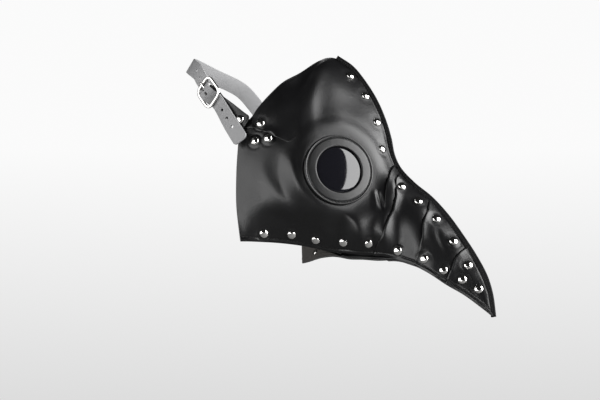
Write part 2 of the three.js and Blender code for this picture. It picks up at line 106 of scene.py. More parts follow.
HEAD_CENTRE = np.array([0, -5, 45])

# ---- Sizes of details that the CAD model leaves out ----
SEAM_SUNK = 1.2  # how far the ridge's fin goes on into the leather
EDGE_BULGE = 0.55  # how far the panels' cut edges are rounded out
RIVET_LIFT = 0.05  # keeps a cap's rim clear of the leather
GUSSET_HALF_WIDTH = 27  # where it is widest
RING_STITCH = (2.5, 1.45)  # how far in from the rim, and below the ring's top
FRAME_EDGE = 0.75
STRAP_EDGE = 0.45
STRAP_CORNER = 4
SHARP = math.radians(50)  # edges that turn more than this stay sharp

# The outer edge of the ridge seam, from the forehead to the tip of the beak: y, z.
RIDGE = [
    (-75, 99.5), (-91.5, 87), (-106, 68.5), (-118, 48.5), (-127, 27), (-132, 10), (-135.5, -7),
    (-142, -20.5), (-156, -36), (-174, -51.5), (-190.5, -70), (-205.5, -91), (-219, -112),
    (-229.5, -132), (-235, -150), (-238, -173.5),
]


# ---- Curves ----
def unit(v):
    v = np.asarray(v, float)
    return v / np.linalg.norm(v, axis=-1, keepdims=True)


def cell(place, count):
    """The knot before each place on a row of count knots, and how far past it the place is."""
    i = np.clip(np.floor(place).astype(int), 0, count - 2)
    return i, (place - i)[:, None]


def spline(p0, p1, p2, p3, w):
    """The centripetal Catmull-Rom curve from p1 to p2, at w from 0 to 1."""
    d0, d1, d2 = (
        np.maximum(((b - a) ** 2).sum(1) ** 0.25, 1e-4)[:, None]
        for a, b in ((p0, p1), (p1, p2), (p2, p3))
    )
    t1 = ((p1 - p0) / d0 - (p2 - p0) / (d0 + d1) + (p2 - p1) / d1) * d1
    t2 = ((p2 - p1) / d1 - (p3 - p1) / (d1 + d2) + (p3 - p2) / d2) * d1
    return p1 + t1 * w + (3 * (p2 - p1) - 2 * t1 - t2) * w**2 + (2 * (p1 - p2) + t1 + t2) * w**3


def catmull(points, t):
    """Points on a curve through the given ones, at parameters t from 0 to 1."""
    p = np.asarray(points, float)
    i, w = cell(np.atleast_1d(np.asarray(t, float)) * (len(p) - 1), len(p))
    e = np.vstack([2 * p[0] - p[1], p, 2 * p[-1] - p[-2]])
    return spline(e[i], e[i + 1], e[i + 2], e[i + 3], w)


def travel(points):
    """The distance along a polyline at each of its points."""
    return np.concatenate([[0], np.cumsum(np.linalg.norm(np.diff(points, axis=0), axis=1))])


def by_length(points, share):
    """Points on a Catmull-Rom curve at shares of its length."""
    t = np.linspace(0, 1, 201)
    along = travel(catmull(points, t))
    return catmull(points, np.interp(np.asarray(share) * along[-1], along, t))


def smoothstep(x, low, high):
    t = np.clip((x - low) / (high - low), 0, 1)
    return t * t * (3 - 2 * t)


RIDGE_3D = [(0, y, z) for y, z in RIDGE]


def seam_foot(t, depth=SEAM_HEIGHT):
    """A point inward from the ridge's edge, in the middle of the left layer of the seam."""
    at, before, after = catmull(RIDGE_3D, [t, max(t - 1e-4, 0), min(t + 1e-4, 1)])
    way = unit(after - before)
    return [SEAM_GAP + SEAM_LAYER / 2, at[1] - way[2] * depth, at[2] + way[1] * depth]


def foot(place):
    return seam_foot(place / (len(RIDGE) - 1))


# Ribs across the left panel from its top edge to its bottom edge: the free rear edge first.
RIBS = [
    [[77.5, -4, 22], [78, -4, 12], [78, -3.5, 0], [78, -2, -25], [76, -1, -60], [72, -4, -94]],
    [[75.5, -14, 24.5], [77, -14, 12], [77.8, -12, 0], [77.8, -11, -22], [75.6, -9.9, -59.9],
     [68, -10.9, -94]],
    [[72, -23, 37.5], [75.5, -22, 15], [77.5, -20, -20], [74.3, -18.7, -59.8], [61.5, -19.2, -94.1]],
    [[66, -33, 51], [74.5, -32, 18], [76.5, -31, -20], [71.9, -30.4, -59.7], [53, -29.3, -94.4]],
    [[58, -42.5, 63], [71.5, -43, 26], [74.5, -43, -20], [68.6, -44, -63.5], [43.5, -41.1, -95.4]],
    [[45, -54, 73.5], [63, -55, 40], [71, -56, 5], [71.5, -57, -31], [63.4, -57.7, -68.4],
     [34.5, -53.1, -96.9]],
    [[24, -67, 90], [46.5, -64, 66], [64.5, -65, 25], [68.5, -67, -18], [58.5, -67, -70], [29, -62.5, -99]],
    [foot(0), [30, -71.5, 80], [53.5, -71.5, 45], [65.5, -73, 0], [62.5, -74.6, -44.8],
     [53, -74.6, -75], [26.5, -68.9, -100.8]],
    [foot(1), [30, -84, 65.5], [51, -79.5, 33], [61, -81.5, -2], [59, -82, -40],
     [48.1, -80.6, -78.3], [24, -76.7, -102.8]],
    [foot(2.3), [34, -98.5, 33], [50, -95.5, -2], [52, -95, -31], [45.4, -95.8, -68.4], [21, -92.5, -104.6]],
    [foot(4), [25, -115, 8], [38, -110.5, -21], [42.5, -111, -55], [37.8, -113, -89.5], [19, -108.7, -107.1]],
    [foot(6), [16, -130, -23], [26.5, -127, -50], [30, -125.6, -83.5], [17.5, -121, -108.4]],
    [foot(7.2), [14, -142, -36], [25, -138, -66], [27.8, -136.2, -94.6], [16.5, -131.9, -110.1]],
    [foot(8), [14, -151, -50], [22.3, -147.4, -79.7], [16, -143.6, -113.5]],
    [foot(9), [13, -169, -67], [19.5, -166.2, -93.8], [16, -162.7, -121.3]],
    [foot(10), [11, -185.5, -86], [16.5, -182, -108], [17.3, -180, -131]],
    [foot(11.3), [8.5, -203, -110], [12.4, -197, -127], [13, -193.9, -141.1]],
    [foot(12.5), [6, -217, -134], [8.4, -211, -144], [8.6, -209.5, -151]],
    [foot(13.8), [3.6, -229, -156], [4.6, -226.8, -161.5], [4.4, -225.6, -164.2]],
    [foot(14.7), [1.6, -235.4, -171.3], [1.5, -235.3, -172.6]],
]
RIB_STEPS = np.linspace(0, 1, 201)
RIB_TABLE = np.array([by_length(rib, RIB_STEPS) for rib in RIBS])
EYE_WAY = unit([0.742, -0.668, 0.05])


def surface(u, v):
    """The left panel's smooth outer face at arrays u (rear edge to tip) and v (top to bottom edge)."""
    u, v = np.broadcast_arrays(np.asarray(u, float), np.asarray(v, float))
    j, w = cell(v.ravel() * (len(RIB_STEPS) - 1), len(RIB_STEPS))
    ribs = RIB_TABLE[:, j] * (1 - w) + RIB_TABLE[:, j + 1] * w
    e = np.concatenate([2 * ribs[:1] - ribs[1:2], ribs, 2 * ribs[-1:] - ribs[-2:-1]])
    i, w = cell(u.ravel() * (len(RIBS) - 1), len(RIBS))
    k = np.arange(u.size)
    s = spline(e[i, k], e[i + 1, k], e[i + 2, k], e[i + 3, k], w)
    away = s - EYE_CENTRE
    height = away @ EYE_WAY
    reach = np.sqrt(np.maximum((away**2).sum(1) - height**2, 0))
    weight = 1 - smoothstep(reach, EYE_FLAT, EYE_BLEND)
    return (s - (height * weight)[:, None] * EYE_WAY).reshape(u.shape + (3,))


def tangents(u, v, step=0.004):
    """The surface's rate of change along u and along v, in mm for each whole unit."""
    u0, u1 = np.maximum(u - step, 0), np.minimum(u + step, 1)
    v0, v1 = np.maximum(v - step, 0), np.minimum(v + step, 1)
    along = (surface(u1, v) - surface(u0, v)) / (u1 - u0)[..., None]
    down = (surface(u, v1) - surface(u, v0)) / (v1 - v0)[..., None]
    return along, down


# ---- Relief: folds, tuck and wrinkles ----
# Each fold's line is where it crosses v (u, v), and its height (mm) is given at v.
FOLDS = [
    {"line": [(0.602, 0), (0.607, 0.17), (0.611, 0.31), (0.615, 0.43), (0.612, 0.6), (0.59, 0.8), (0.545, 1)],
     "height": [(0, 1.6), (0.1, 3.0), (0.3, 2.6), (0.43, 0.8), (0.48, 0), (1, 0)], "swell": 6},
    {"line": [(0.632, 0), (0.634, 0.16), (0.66, 0.3), (0.663, 0.46), (0.645, 0.6), (0.625, 0.79), (0.577, 1)],
     "height": [(0, 1.4), (0.15, 2.6), (0.6, 3.3), (0.9, 2.6), (1, 1.2)], "swell": 5},
    {"line": [(0.738, 0), (0.752, 0.18), (0.750, 0.39), (0.756, 0.56), (0.750, 0.78), (0.733, 1)],
     "height": [(0, 1.4), (0.2, 2.7), (0.6, 3.5), (0.9, 2.6), (1, 1.0)], "swell": 7.5},
    {"line": [(0.852, 0), (0.845, 0.4), (0.848, 0.65), (0.837, 1)],
     "height": [(0, 1.2), (0.3, 2.6), (0.7, 3.0), (1, 0.8)], "swell": 7},
]
# How a fold is shaped: shares of its height, and lengths away from its line.
FOLD_ROUND = 1.6  # radius of its edge
FOLD_LEDGE = 0.15  # the part that stands straight up at the line
FOLD_STEEP = (0.4, 2.5)  # the part that falls away fast
FOLD_HOLLOW = (0.55, 3.2)  # behind the edge
FOLD_SLIDE = (0.62, 2.6)  # how the edge laps over the hollow

# The tuck's line as (u, v), and its height (mm) given at u.
TUCK_LINE = [
    (0, 0.045), (0.053, 0.062), (0.10, 0.155), (0.139, 0.244), (0.18, 0.315), (0.222, 0.375), (0.258, 0.424),
    (0.29, 0.43), (0.34, 0.42), (0.5, 0.34), (1, 0.3),
]
TUCK_HEIGHT = [(0, 0.3), (0.08, 1.3), (0.15, 2.6), (0.2, 4.0), (0.228, 4.4), (0.246, 2.4), (0.258, 0), (1, 0)]
TUCK_ROUND = (0.5, 0.6)  # how its edge drops
TUCK_BEAD = (0.45, 2.0)  # the part that falls away fast
TUCK_PUFF = 6.5  # length of the soft swelling above it
TUCK_HOLLOW = (0.35, 5)  # below the edge
TUCK_SLIDE = (0.5, 3)

# Around rivets, the eye ring and the seams.
RIVET_CALM = 3.5  # width of the flat leather around a cap
RIVET_PRESS = (0.4, 6.4, 1.6)  # depth, radius and width of the groove pressed around a rivet
RING_CALM = (0.5, 8)  # where the relief starts and is whole again, outside the ring
RIDGE_CALM = (0.35, 5)  # share left at the ridge, and where it is whole again
SEAM_GROOVE = (0.5, 0.9)  # depth and width of a stitched groove
SEAM_LIP = (0.25, 2.2, 1.2)  # height, distance and width of the swelling outside it
UNEVENNESS = {"seed": 7, "wavelength": 42, "lift": 0.35}
RIDGE_INSET = 2.2
RIDGE_STITCH_DEPTH = 2.4
STITCH_INSET = 4.0
SHORTEST_COLUMN = 6  # the bottom stitches stop where the panel is narrower

# The panel's grid: how many cells each part has, and how much they crowd towards its ends.
COLUMNS = [(150, 0.4), (12, 0.5), (34, 0.8), (34, 0.8), (38, 0.6)]
ROWS = [(34, 0.6), (96, 0.5)]


def through(pairs, x):
    """A smooth line through (x, y) pairs, read at x."""
    xs, ys = zip(*pairs)
    fine = np.linspace(xs[0], xs[-1], 400)
    rough = np.interp(fine, xs, ys)
    kernel = np.hanning(31)
    padded = np.concatenate([2 * rough[0] - rough[15:0:-1], rough, 2 * rough[-1] - rough[-2:-17:-1]])
    return np.interp(x, fine, np.convolve(padded, kernel / kernel.sum(), "valid"))


def fold_line(fold, v):
    return through([(b, a) for a, b in fold["line"]], v)


def crowded(count, pull):
    """count + 1 numbers from 0 to 1 that crowd towards both ends."""
    x = np.linspace(0, 1, count + 1)
    return x - pull * np.sin(2 * math.pi * x) / (2 * math.pi)


def grid_line(parts):
    """The part that each grid line is in, and its share of the way across it."""
    part = np.concatenate([np.full(n + 1, k) for k, (n, _) in enumerate(parts)])
    return part, np.concatenate([crowded(n, pull) for n, pull in parts])


def panel_parameters():
    """u and v at every grid point, the part between folds it is in, and its side of the tuck."""
    start, share = grid_line(COLUMNS)
    row_part, row_share = grid_line(ROWS)
    rough_knots = np.array([0.0] + [f["line"][0][0] for f in FOLDS] + [1.0])
    rough_u = rough_knots[start] + (rough_knots[start + 1] - rough_knots[start]) * share
    tuck_v = through(TUCK_LINE, rough_u)[:, None]
    v = np.where(row_part == 0, tuck_v * row_share, tuck_v + (1 - tuck_v) * row_share)
    knots = np.array([np.zeros_like(v)] + [fold_line(f, v) for f in FOLDS] + [np.ones_like(v)])
    i = np.arange(len(start))
    low, high = knots[start, i], knots[start + 1, i]
    u = low + (high - low) * share[:, None]
    return u, v, *np.broadcast_arrays(start[:, None], row_part)


def fold_relief(u, v, part, along_mm):
    """Height and slide (mm) that the folds add: each piece nearer the tip laps over the one behind."""
    height = np.zeros_like(u)
    slide = np.zeros_like(u)
    steep, steep_length = FOLD_STEEP
    depth, depth_length = FOLD_HOLLOW
    lap, lap_length = FOLD_SLIDE
    for k, fold in enumerate(FOLDS):
        s = (u - fold_line(fold, v)) * along_mm
        h = through(fold["height"], v)
        ahead = part > k
        near = np.maximum(s, 0)
        behind = np.maximum(-s, 0)
        round_edge = np.sqrt(1 - (1 - np.minimum(near / FOLD_ROUND, 1)) ** 2)
        rise = h * (FOLD_LEDGE + (1 - FOLD_LEDGE) * round_edge)
        fall = steep * np.exp(-near / steep_length) + (1 - steep) * np.exp(-near / fold["swell"])
        height += np.where(ahead, rise * fall, -depth * h * np.exp(-behind / depth_length))
        slide += np.where(ahead, -lap * h * np.exp(-near / lap_length), 0)
    return height, slide


def tuck_relief(u, v, row_part, down_mm):
    """The temple tuck: the leather above it laps down over the leather below it and puffs out."""
    s = (v - through(TUCK_LINE, u)) * down_mm
    h = through(TUCK_HEIGHT, u)
    above = row_part == 0
    up = np.maximum(-s, 0)
    below = np.maximum(s, 0)
    rise = h * (1 - TUCK_ROUND[0] * np.exp(-up / TUCK_ROUND[1]))
    bead, bead_length = TUCK_BEAD
    fall = bead * np.exp(-up / bead_length) + (1 - bead) * np.exp(-((up / TUCK_PUFF) ** 2))
    height = np.where(above, rise * fall, -TUCK_HOLLOW[0] * h * np.exp(-below / TUCK_HOLLOW[1]))
    slide = np.where(above, TUCK_SLIDE[0] * h * np.exp(-up / TUCK_SLIDE[1]), 0)
    return height, slide


# Soft wrinkles: (u, v) points, height (mm, negative for a valley) and width (mm).
WRINKLES = [
    ([(0.245, 0.455), (0.257, 0.55), (0.285, 0.66), (0.32, 0.75)], 1.5, 8),
    ([(0.285, 0.47), (0.30, 0.56), (0.33, 0.66), (0.36, 0.76)], -1.2, 8),
    ([(0.175, 0.49), (0.205, 0.60), (0.25, 0.70), (0.30, 0.77)], -0.4, 6),
    ([(0.15, 0.47), (0.18, 0.60), (0.225, 0.71), (0.27, 0.80)], 0.6, 7),
    ([(0.17, 0.80), (0.24, 0.85), (0.33, 0.86)], -1.8, 9),
    ([(0.30, 0.30), (0.31, 0.20), (0.32, 0.10)], -0.6, 8),
    ([(0.36, 0.33), (0.37, 0.22), (0.375, 0.12)], 0.5, 7),
    ([(0.585, 0.40), (0.598, 0.47), (0.612, 0.53)], -2.0, 2.2),
    ([(0.572, 0.42), (0.582, 0.50), (0.585, 0.58)], 1.0, 3.0),
    ([(0.785, 0.30), (0.80, 0.40), (0.818, 0.47)], -0.5, 3.0),
    ([(0.775, 0.34), (0.79, 0.46), (0.815, 0.55)], 0.45, 3.5),
    ([(0.69, 0.55), (0.70, 0.70), (0.69, 0.85)], -0.9, 6),
]


def wrinkle_relief(points):
    height = np.zeros(points.shape[:2])
    for line, lift, width in WRINKLES:
        u, v = catmull(line, np.linspace(0, 1, 17)).T
        route = surface(u, v)
        taper = np.sin(np.linspace(0, math.pi, len(route))) ** 0.6
        strongest = np.zeros(points.shape[:2])
        for at, strength in zip(route, taper):
            near = ((points - at) ** 2).sum(-1)
            strongest = np.maximum(strongest, strength * np.exp(-near / width**2))
        height += lift * strongest
    return height


def drift(points, seed, wavelength, lift):
    """Gentle unevenness: a seeded sum of plane waves."""
    rng = np.random.default_rng(seed)
    total = np.zeros(points.shape[:2])
    for _ in range(14):
        way = unit(rng.normal(size=3))
        pace = 2 * math.pi / (wavelength * rng.uniform(0.6, 1.6))
        total += np.sin(points @ way * pace + rng.uniform(0, 6.28))
    return lift * total / math.sqrt(14)


# ---- Rivet places, read from the CAD nodes ----
RIVET_COUNTS = {"forehead": 4, "beak": 6, "edge": 9, "temple": 3}


def lathe_place(node):
    """Where a rivet's cap meets the leather, the way it points and how deep it goes."""
    co = np.array([v.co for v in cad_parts[node].data.vertices]) / MM
    co = np.unique(np.round(co, 3), axis=0)
    middle = co.mean(0)
    spread, axes = np.linalg.eigh(np.cov((co - middle).T))
    axis = axes[:, np.argmax(np.abs(spread - np.median(spread)))]
    outward = np.array([math.copysign(1, middle[0]), -0.4, 0.1])
    axis = axis if axis @ outward > 0 else -axis
    reach = (co - middle) @ axis
    top = reach.max() - RIVET_CAP_TOP
    return middle + axis * top, axis, top - reach.min()


def rivet_names(side):
    return [f"{row}_rivet_{k + 1}_{side}" for row, n in RIVET_COUNTS.items() for k in range(n)]


SEATS = {name: lathe_place(name) for side in ("left", "right") for name in rivet_names(side)}


# ---- Mesh helpers ----
def add_mesh(name, verts, faces, materials, marks=None):
    """A smooth mesh object from points in mm. marks gives each face's place among the materials."""
    mesh = bpy.data.meshes.new(name)
    mesh.from_pydata((np.asarray(verts, float) * MM).tolist(), [], [list(map(int, f)) for f in faces])
    for material in materials:
        mesh.materials.append(material)
    if marks is not None:
        mesh.polygons.foreach_set("material_index", np.asarray(marks, np.int32))
    mesh.polygons.foreach_set("use_smooth", [True] * len(mesh.polygons))
    mesh.validate()
    mesh.update()
    obj = bpy.data.objects.new(name, mesh)
    bpy.context.scene.collection.objects.link(obj)
    return obj


def both_sides(verts, faces):
    """A shape for the left side, and its mirror image for the right."""
    yield "left", verts, faces
    yield "right", np.asarray(verts) * [-1, 1, 1], [list(f)[::-1] for f in faces]


def tube_faces(rings, sides, closed=False):
    faces = []
    last = rings if closed else rings - 1
    for i in range(last):
        a, b = i * sides, ((i + 1) % rings) * sides
        for j in range(sides):
            k = (j + 1) % sides
            faces.append((a + j, b + j, b + k, a + k))
    if not closed:
        faces.append(list(range(sides)))
        faces.append(list(range((rings - 1) * sides, rings * sides))[::-1])
    return faces


def spokes_about(facing, count):
    """Unit vectors in a circle around a unit axis."""
    side = unit(np.cross(facing, [0.3, 0.2, 1]))
    other = np.cross(facing, side)
    angles = np.linspace(0, 2 * math.pi, count, endpoint=False)
    return np.outer(np.cos(angles), side) + np.outer(np.sin(angles), other)


def lathe(profile, segments, at, facing):
    """A closed solid turned about an axis, its profile running from the back to the front."""
    facing = unit(facing)
    spokes = spokes_about(facing, segments)
    rings = profile[1:-1]
    verts = [at + facing * profile[0][1]]
    for r, z in rings:
        verts.extend(at + facing * z + spokes * r)
    verts.append(at + facing * profile[-1][1])
    faces = []
    for k in range(len(rings) - 1):
        a, b = 1 + k * segments, 1 + (k + 1) * segments
        for j in range(segments):
            n = (j + 1) % segments
            faces.append((a + j, a + n, b + n, b + j))
    last = len(verts) - 1
    top = 1 + (len(rings) - 1) * segments
    for j in range(segments):
        n = (j + 1) % segments
        faces.append((0, 1 + n, 1 + j))
        faces.append((top + j, top + n, last))
    return np.array(verts), faces


def turned_ring(profile, segments, at, facing):
    """A closed ring turned about an axis, from a closed profile."""
    facing = unit(facing)
    verts = []
    for spoke in spokes_about(facing, segments):
        verts.extend(at + spoke * r + facing * z for r, z in profile)
    return np.array(verts), tube_faces(segments, len(profile), closed=True)


def rounded_rectangle(width, height, corner, steps):
    """Points around a rectangle with round corners, each of them an arc of so many steps."""
    points = []
    for cx, cy, start in ((1, 1, 0), (-1, 1, 90), (-1, -1, 180), (1, -1, 270)):
        for k in range(steps + 1):
            angle = math.radians(start + 90 * k / steps)
            points.append((cx * (width / 2 - corner) + corner * math.cos(angle),
                           cy * (height / 2 - corner) + corner * math.sin(angle)))
    return np.array(points)


def sweep(route, facing, section, scale=None):
    """A solid along a route, its section's first axis scaled and its second turned to facing."""
    route = np.asarray(route, float)
    ahead = unit(np.gradient(route, axis=0))
    across = unit(np.cross(ahead, facing))
    out = np.cross(across, ahead)
    scale = np.ones(len(route)) if scale is None else scale
    rings = [
        p + (section[:, :1] * a * s + section[:, 1:] * n)
        for p, a, n, s in zip(route, across, out, scale)
    ]
    return np.concatenate(rings), tube_faces(len(route), len(section))


# ---- Materials ----
def set_inputs(node, **inputs):
    """An underscore in an input's name stands for a space."""
    for key, value in inputs.items():
        node.inputs[key.replace("_", " ")].default_value = value


def add_node(tree, kind, **inputs):
    node = tree.nodes.new(f"ShaderNode{kind}")
    set_inputs(node, **inputs)
    return node


def new_material(name, **inputs):
    """A material with these inputs of its shader set, its node tree and its shader."""
    material = bpy.data.materials.new(name)
    material.use_nodes = True
    shader = material.node_tree.nodes["Principled BSDF"]
    set_inputs(shader, **inputs)
    return material, material.node_tree, shader


def texture(tree, kind, output="Fac", **inputs):
    """What a texture node gives when it reads the object's own coordinates."""
    where = add_node(tree, "TexCoord")
    node = add_node(tree, f"Tex{kind}", **inputs)
    tree.links.new(where.outputs["Object"], node.inputs["Vector"])
    return node.outputs[output]


def vary_colour(tree, shader, factor, dark, light):
    mix = add_node(tree, "Mix")
    mix.data_type = "RGBA"
    mix.inputs["A"].default_value = (*dark, 1)
    mix.inputs["B"].default_value = (*light, 1)
    tree.links.new(factor, mix.inputs["Factor"])
    tree.links.new(mix.outputs["Result"], shader.inputs["Base Color"])


def vary_gloss(tree, shader, factor, low, high):
    gloss = add_node(tree, "MapRange", To_Min=low, To_Max=high)
    tree.links.new(factor, gloss.inputs["Value"])
    tree.links.new(gloss.outputs["Result"], shader.inputs["Roughness"])


def bump(tree, height, target, strength, distance):
    """Raises the surface that a shader, or a coarser bump, draws. The distance is in metres."""
    node = add_node(tree, "Bump", Strength=strength, Distance=distance)
    tree.links.new(height, node.inputs["Height"])
    tree.links.new(node.outputs["Normal"], target.inputs["Normal"])
    return node


def leather_material(name, dark, light, roughness, grain=950, grain_depth=0.00016,
                     crease_depth=0.0005, shine=0.5):
    """Leather: pebbled grain over fine creases, with cloudy colour and gloss."""
    material, tree, shader = new_material(name, Specular_IOR_Level=shine)
    cloud = texture(tree, "Noise", Scale=45, Detail=5)
    vary_colour(tree, shader, cloud, dark, light)
    vary_gloss(tree, shader, cloud, roughness - 0.06, roughness + 0.08)
    creases = texture(tree, "Noise", Scale=170, Detail=6, Roughness=0.6, Distortion=0.6)
    broad = bump(tree, creases, shader, 0.35, crease_depth)
    pebbles = texture(tree, "Voronoi", "Distance", Scale=grain)
    pebbles.node.feature = "SMOOTH_F1"
    bump(tree, pebbles, broad, 0.5, grain_depth)
    return material


def metal_material():
    """Polished nickel plate with faint polishing marks."""
    material, tree, shader = new_material("polished_nickel", Metallic=1)
    marks = texture(tree, "Noise", Scale=320, Detail=4, Distortion=1.5)
    vary_gloss(tree, shader, marks, 0.07, 0.16)
    vary_colour(tree, shader, marks, (0.78, 0.77, 0.75), (0.88, 0.87, 0.85))
    return material


def lens_material():
    """Near-black tinted acrylic, glossy, with a trace of unevenness."""
    near_black = (0.006, 0.006, 0.008, 1)
    material, tree, shader = new_material(
        "tinted_lens", Base_Color=near_black, Coat_Weight=0.15, Coat_Roughness=0.02)
    vary_gloss(tree, shader, texture(tree, "Noise", Scale=60, Detail=3), 0.03, 0.07)
    return material


def thread_material():
    """Waxed black thread with a twisted lay."""
    material, tree, shader = new_material("black_thread", Base_Color=(0.004, 0.004, 0.004, 1), Roughness=0.75)
    bump(tree, texture(tree, "Wave", Scale=900, Distortion=2), shader, 0.6, 0.0002)
    return material


def floor_material():
    """Grey studio paper, a trace uneven in tone."""
    material, tree, shader = new_material("studio_floor", Roughness=0.8)
    grain = texture(tree, "Noise", Scale=40, Detail=4)
    vary_colour(tree, shader, grain, (0.194, 0.194, 0.194), (0.2, 0.2, 0.2))
    return material


JET = ((0.0015, 0.0015, 0.0018), (0.004, 0.004, 0.0045))
BLACK = leather_material("black_leather", *JET, 0.35, grain_depth=0.0001, crease_depth=0.0003)
SEAM = leather_material("seam_leather", *JET, 0.6, shine=0.18)
INNER = leather_material("leather_back", (0.03, 0.028, 0.026), (0.05, 0.046, 0.042), 0.85, grain=500)
RAW_EDGE = leather_material("raw_leather_edge", (0.03, 0.03, 0.03), (0.07, 0.07, 0.07), 0.55, grain=700)
GREY = leather_material("grey_strap", (0.17, 0.17, 0.175), (0.23, 0.23, 0.235), 0.55,
                        grain=700, crease_depth=0.0003)
GREY_EDGE = leather_material("grey_strap_edge", (0.26, 0.26, 0.265), (0.33, 0.33, 0.335), 0.55, grain=700)
NICKEL = metal_material()
LENS = lens_material()
THREAD = thread_material()


# ---- Side panels ----
def panel_relief(u, v, part, row_part, smooth):
    """How far each front point moves off the smooth surface, its normals and the heights."""
    along, down = tangents(u, v)
    along_mm = np.linalg.norm(along, axis=-1)
    down_mm = np.linalg.norm(down, axis=-1)
    fold_height, fold_slide = fold_relief(u, v, part, along_mm)
    tuck_height, tuck_slide = tuck_relief(u, v, row_part, down_mm)
    height = fold_height + tuck_height + wrinkle_relief(smooth) + drift(smooth, **UNEVENNESS)
    calm = np.ones_like(height)
    depth, radius, width = RIVET_PRESS
    for name in rivet_names("left"):
        near = np.sqrt(((smooth - SEATS[name][0]) ** 2).sum(-1))
        calm *= smoothstep(near, RIVET_CAP, RIVET_CAP + RIVET_CALM)
        height -= depth * np.exp(-(((near - radius) / width) ** 2))
    ring = np.sqrt(((smooth - EYE_CENTRE) ** 2).sum(-1))
    calm *= smoothstep(ring, RING_OUTER + RING_CALM[0], RING_OUTER + RING_CALM[1])
    calm *= RIDGE_CALM[0] + (1 - RIDGE_CALM[0]) * smoothstep(v * down_mm, 0, RIDGE_CALM[1])
    height += calm * seam_press(v * down_mm, RIDGE_INSET) + seam_press((1 - v) * down_mm, STITCH_INSET)
    height *= calm
    normal = unit(np.cross(along, down))
    shift = normal * height[..., None]
    shift += unit(along) * (fold_slide * calm)[..., None] + unit(down) * (tuck_slide * calm)[..., None]
    return shift, normal, height


def seam_press(inset, line):
    """The stitches pull a groove along a seam, and the strip outside it stands a little proud."""
    groove, groove_width = SEAM_GROOVE
    lip, lip_distance, lip_width = SEAM_LIP
    hollow = groove * np.exp(-(((inset - line) / groove_width) ** 2))
    return lip * np.exp(-(((inset - line + lip_distance) / lip_width) ** 2)) - hollow


def from_eye(points):
    """How far each point is from the eye's axis, and the way there."""
    away = points - EYE_CENTRE
    flat = away - (away @ EYE_WAY)[..., None] * EYE_WAY
    return np.linalg.norm(flat, axis=-1), flat


def beside(cells, shape):
    """The grid points that have one of the marked cells beside them."""
    found = np.zeros(shape, bool)
    columns, rows = cells.shape
    for i, j in ((0, 0), (0, 1), (1, 0), (1, 1)):
        found[i:i + columns, j:j + rows] |= cells
    return found


def snapped_to_eye(points, keep):
    """Moves the grid points around the eye opening onto its circle."""
    reach, flat = from_eye(points)
    rim = beside(~keep, reach.shape) & beside(keep, reach.shape) & (reach < EYE_HOLE * 1.3)
    moved = points.copy()
    moved[rim] += flat[rim] * ((EYE_HOLE / reach[rim]) - 1)[:, None]
    return moved


def panel_faces(a, b, keep):
    """Faces on the front (mark 0), and on the back and around the eye opening (mark 1)."""
    faces, marks = [], []
    columns, rows = keep.shape
    for i, j in np.argwhere(keep):
        faces.append((a[i, j], a[i + 1, j], a[i + 1, j + 1], a[i, j + 1]))
        faces.append((b[i, j], b[i, j + 1], b[i + 1, j + 1], b[i + 1, j]))
        marks += [0, 1]
        sides = (
            (i + 1, j, (i + 1, j), (i + 1, j + 1)),
            (i - 1, j, (i, j + 1), (i, j)),
            (i, j + 1, (i + 1, j + 1), (i, j + 1)),
            (i, j - 1, (i, j), (i + 1, j)),
        )
        for n, m, p, q in sides:
            if 0 <= n < columns and 0 <= m < rows and not keep[n, m]:
                faces.append((a[p], b[p], b[q], a[q]))
                marks.append(1)
    return faces, marks


def panel_rim(front, back, border):
    """Points that round off the panel's cut edge."""
    columns, rows = front.shape[:2]
    i, j = np.array(border).T
    inner = front[np.clip(i, 2, columns - 3), np.clip(j, 2, rows - 3)]
    rim = (front[i, j] + back[i, j]) / 2 + unit(front[i, j] - inner + 1e-9) * EDGE_BULGE
    rim[:, 0] = np.maximum(rim[:, 0], SEAM_GAP)
    return rim


def panel_mesh():
    u, v, part, row_part = panel_parameters()
    smooth = surface(u, v)
    shift, normal, height = panel_relief(u, v, part, row_part, smooth)
    front = smooth + shift
    back = smooth - normal * (LEATHER - np.minimum(height, 0))[..., None]
    for points in (front, back):
        points[..., 0] = np.maximum(points[..., 0], SEAM_GAP)
    keep = from_eye((front[:-1, :-1] + front[1:, 1:]) / 2)[0] > EYE_HOLE
    front = snapped_to_eye(front, keep)
    back = snapped_to_eye(back, keep)
    columns, rows = u.shape
    a = np.arange(columns * rows).reshape(columns, rows)
    b = a + columns * rows
    faces, marks = panel_faces(a, b, keep)
    border = [(i, 0) for i in range(columns)] + [(columns - 1, j) for j in range(1, rows)]
    border += [(i, rows - 1) for i in range(columns - 2, -1, -1)] + [(0, j) for j in range(rows - 2, 0, -1)]
    ids = 2 * columns * rows + np.arange(len(border))
    for k, p in enumerate(border):
        n = (k + 1) % len(border)
        q = border[n]
        faces.append((a[p], ids[k], ids[n], a[q]))
        faces.append((ids[k], b[p], b[q], ids[n]))
        marks += [2, 2]
    verts = [front.reshape(-1, 3), back.reshape(-1, 3), panel_rim(front, back, border)]
    return np.concatenate(verts), faces, marks, front, normal


def tidy_mesh(obj):
    """Welds points that lie together and drops faces that have no area."""
    bm = bmesh.new()
    bm.from_mesh(obj.data)
    bmesh.ops.remove_doubles(bm, verts=bm.verts, dist=2e-6)
    bmesh.ops.dissolve_degenerate(bm, dist=2e-6, edges=bm.edges)
    bm.to_mesh(obj.data)
    bm.free()


def make_panels():
    verts, faces, marks, front, normal = panel_mesh()
    for side, points, skin in both_sides(verts, faces):
        panel = add_mesh(f"panel_{side}", points, skin, (BLACK, INNER, RAW_EDGE), marks)
        tidy_mesh(panel)
        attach(panel, "mask")
        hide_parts(f"side_panel_{side}")
    return front, normal


